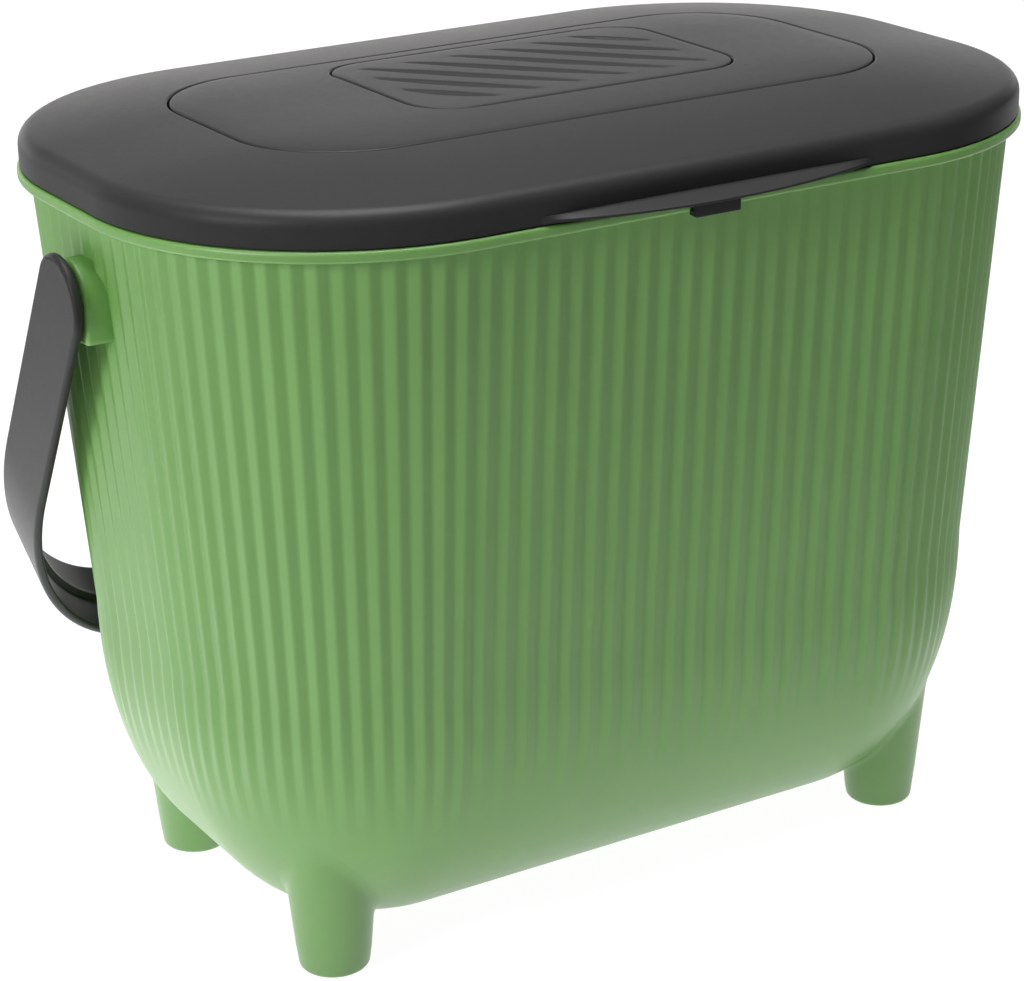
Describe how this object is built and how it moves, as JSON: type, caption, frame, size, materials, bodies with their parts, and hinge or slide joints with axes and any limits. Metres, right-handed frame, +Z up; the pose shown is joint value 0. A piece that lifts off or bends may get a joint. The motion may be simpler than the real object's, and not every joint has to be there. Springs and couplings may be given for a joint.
{
  "type": "countertop compost bin",
  "caption": "Small countertop compost bin: a reeded pail on feet with a hinged vent lid, a drain strainer and a swing handle.",
  "frame": {"origin": "centre of the bin on the floor under its four feet", "axes": "+X to the right along the bin's length, +Y to the hinges at the back, +Z up"},
  "size_m": [0.248, 0.1686, 0.1968],
  "materials": {
    "green": "satin moulded",
    "charcoal": "fine moulded grain",
    "pad": "open carbon foam",
    "seal": "soft silicone",
    "steel": "drawn rod"
  },
  "bodies": {
    "pail": {"bucket": "green"},
    "lid": {"lid_shell": "charcoal", "lid_panel": "charcoal", "filter_tray": "charcoal", "carbon_filter": "pad", "lid_seal": "seal", "hinge_pin_left": "steel", "hinge_pin_right": "steel"},
    "cover": {"vent_cover": "charcoal"},
    "bail": {"handle": "charcoal"},
    "basket": {"strainer": "charcoal"}
  },
  "joints": [
    {"name": "lid_hinge", "type": "hinge", "parent": "pail", "child": "lid", "pos_m": [0, 0.0812, 0.1823], "axis": [-1, 0, 0], "range_deg": [0, 105]},
    {"name": "handle_swing", "type": "hinge", "parent": "pail", "child": "bail", "pos_m": [0, 0, 0.1619], "axis": [1, 0, 0], "range_deg": [0, 291]},
    {"name": "cover_lift", "type": "slide", "parent": "lid", "child": "cover", "axis": [0, 0, 1], "range_m": [0, 0.03]},
    {"name": "strainer_lift", "type": "slide", "parent": "pail", "child": "basket", "axis": [0, 0, -1], "range_m": [-0.12, 0]}
  ]
}
